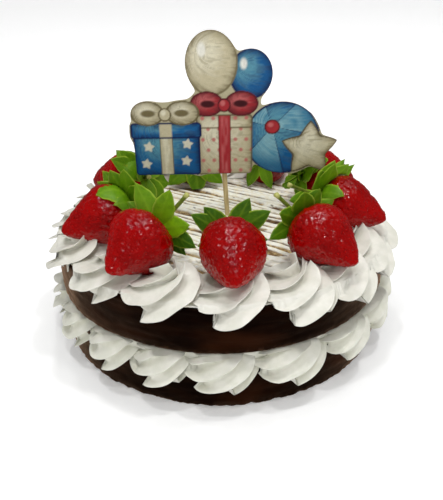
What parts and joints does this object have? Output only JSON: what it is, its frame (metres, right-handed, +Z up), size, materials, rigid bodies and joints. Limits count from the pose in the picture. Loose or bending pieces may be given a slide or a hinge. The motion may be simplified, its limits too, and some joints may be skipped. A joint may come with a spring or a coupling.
{
  "type": "teddy bear cake",
  "caption": "Round two-layer chocolate cake with piped cream between the layers and round the rim, glazed strawberries on top and a cut-out card topper on a wooden stick.",
  "frame": {"origin": "centre of the cake's flat base", "axes": "+Z up through the cake; the printed front of the card topper and the front of the cake face -Y; +X is to the right seen from the front"},
  "size_m": [0.2196, 0.2194, 0.1747],
  "materials": {
    "chocolate": "smooth chocolate coating, dull",
    "cream": "smooth whipped cream",
    "streaked_cream": "cream drizzled in lines over chocolate",
    "strawberry": "glazed, glossy",
    "leaf": "fresh leaf",
    "pale_wood": "plain",
    "printed_card": "printed card, satin"
  },
  "bodies": {
    "root": {"cake_lower": "chocolate", "cake_upper": "chocolate", "cream_filling": "cream", "cream_top": "streaked_cream", "rosette_01": "cream", "rosette_02": "cream", "rosette_03": "cream", "rosette_04": "cream", "rosette_05": "cream", "rosette_06": "cream", "rosette_07": "cream", "rosette_08": "cream", "rosette_09": "cream", "rosette_10": "cream", "rosette_11": "cream", "rosette_12": "cream", "rosette_13": "cream", "rosette_14": "cream", "rosette_15": "cream", "rosette_16": "cream", "strawberry_01": "strawberry", "strawberry_02": "strawberry", "strawberry_03": "strawberry", "strawberry_04": "strawberry", "strawberry_05": "strawberry", "strawberry_06": "strawberry", "strawberry_07": "strawberry", "strawberry_08": "strawberry", "strawberry_09": "strawberry", "calyx_01": "leaf", "calyx_02": "leaf", "calyx_03": "leaf", "calyx_04": "leaf", "calyx_05": "leaf", "calyx_06": "leaf", "calyx_07": "leaf", "calyx_08": "leaf", "calyx_09": "leaf", "topper_stick": "pale_wood", "topper_card": "printed_card"}
  },
  "joints": []
}
